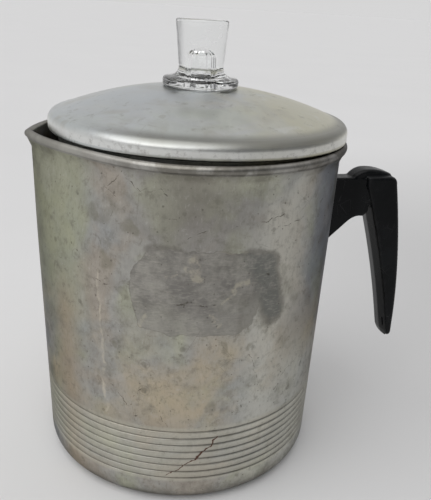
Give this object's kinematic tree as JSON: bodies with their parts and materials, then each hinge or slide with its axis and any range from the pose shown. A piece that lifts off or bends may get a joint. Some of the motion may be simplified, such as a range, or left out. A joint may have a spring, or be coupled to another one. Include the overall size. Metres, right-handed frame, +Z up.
{
  "type": "stovetop coffee percolator",
  "caption": "Stovetop coffee percolator: tall aluminium pot with a V-shaped pouring lip, domed lid with a clear glass knob, black side handle, and a lift-out pump tube and basket.",
  "frame": {"origin": "centre of the pot's flat base, on the axis of the pot body", "axes": "+Z up along the pot's axis, +X towards the handle, -X towards the pouring lip"},
  "size_m": [0.2336, 0.171, 0.2442],
  "materials": {
    "pot_aluminium": "aged satin, stained and lightly scratched",
    "lid_aluminium": "worn satin with a brighter rolled edge",
    "pump_aluminium": "dull spun finish with coffee stain",
    "phenolic": "black moulded phenolic, semi-gloss",
    "knob_glass": "clear pressed glass",
    "screw_steel": "plain steel"
  },
  "bodies": {
    "pot": {"pot_shell": "pot_aluminium", "handle_bracket": "pot_aluminium", "rivet_upper": "pot_aluminium", "rivet_lower": "pot_aluminium", "handle": "phenolic", "handle_screw": "screw_steel", "lock_washer": "screw_steel"},
    "pump": {"pump_tube": "pump_aluminium", "pump_foot": "pump_aluminium", "valve_cage": "pump_aluminium", "basket_stop": "pump_aluminium"},
    "valve": {"valve_washer": "screw_steel"},
    "basket": {"basket_shell": "pump_aluminium", "basket_sleeve": "pump_aluminium"},
    "cover": {"basket_cover": "pump_aluminium"},
    "lid": {"lid_shell": "lid_aluminium"},
    "knob": {"glass_knob": "knob_glass"}
  },
  "joints": [
    {"name": "pump_lift", "type": "slide", "parent": "pot", "child": "pump", "axis": [0, 0, 1], "range_m": [0, 0.19]},
    {"name": "valve_lift", "type": "slide", "parent": "pump", "child": "valve", "axis": [0, 0, 1], "range_m": [0, 0.003]},
    {"name": "basket_lift", "type": "slide", "parent": "pump", "child": "basket", "axis": [0, 0, 1], "range_m": [0, 0.09]},
    {"name": "cover_lift", "type": "slide", "parent": "basket", "child": "cover", "axis": [0, 0, 1], "range_m": [0, 0.035]},
    {"name": "lid_lift", "type": "slide", "parent": "cover", "child": "lid", "axis": [0, 0, 1], "range_m": [0, 0.06]},
    {"name": "knob_turn", "type": "hinge", "parent": "lid", "child": "knob", "pos_m": [0.006, 0, 0.2122], "axis": [0, 0, 1], "range_deg": [0, 45]}
  ]
}
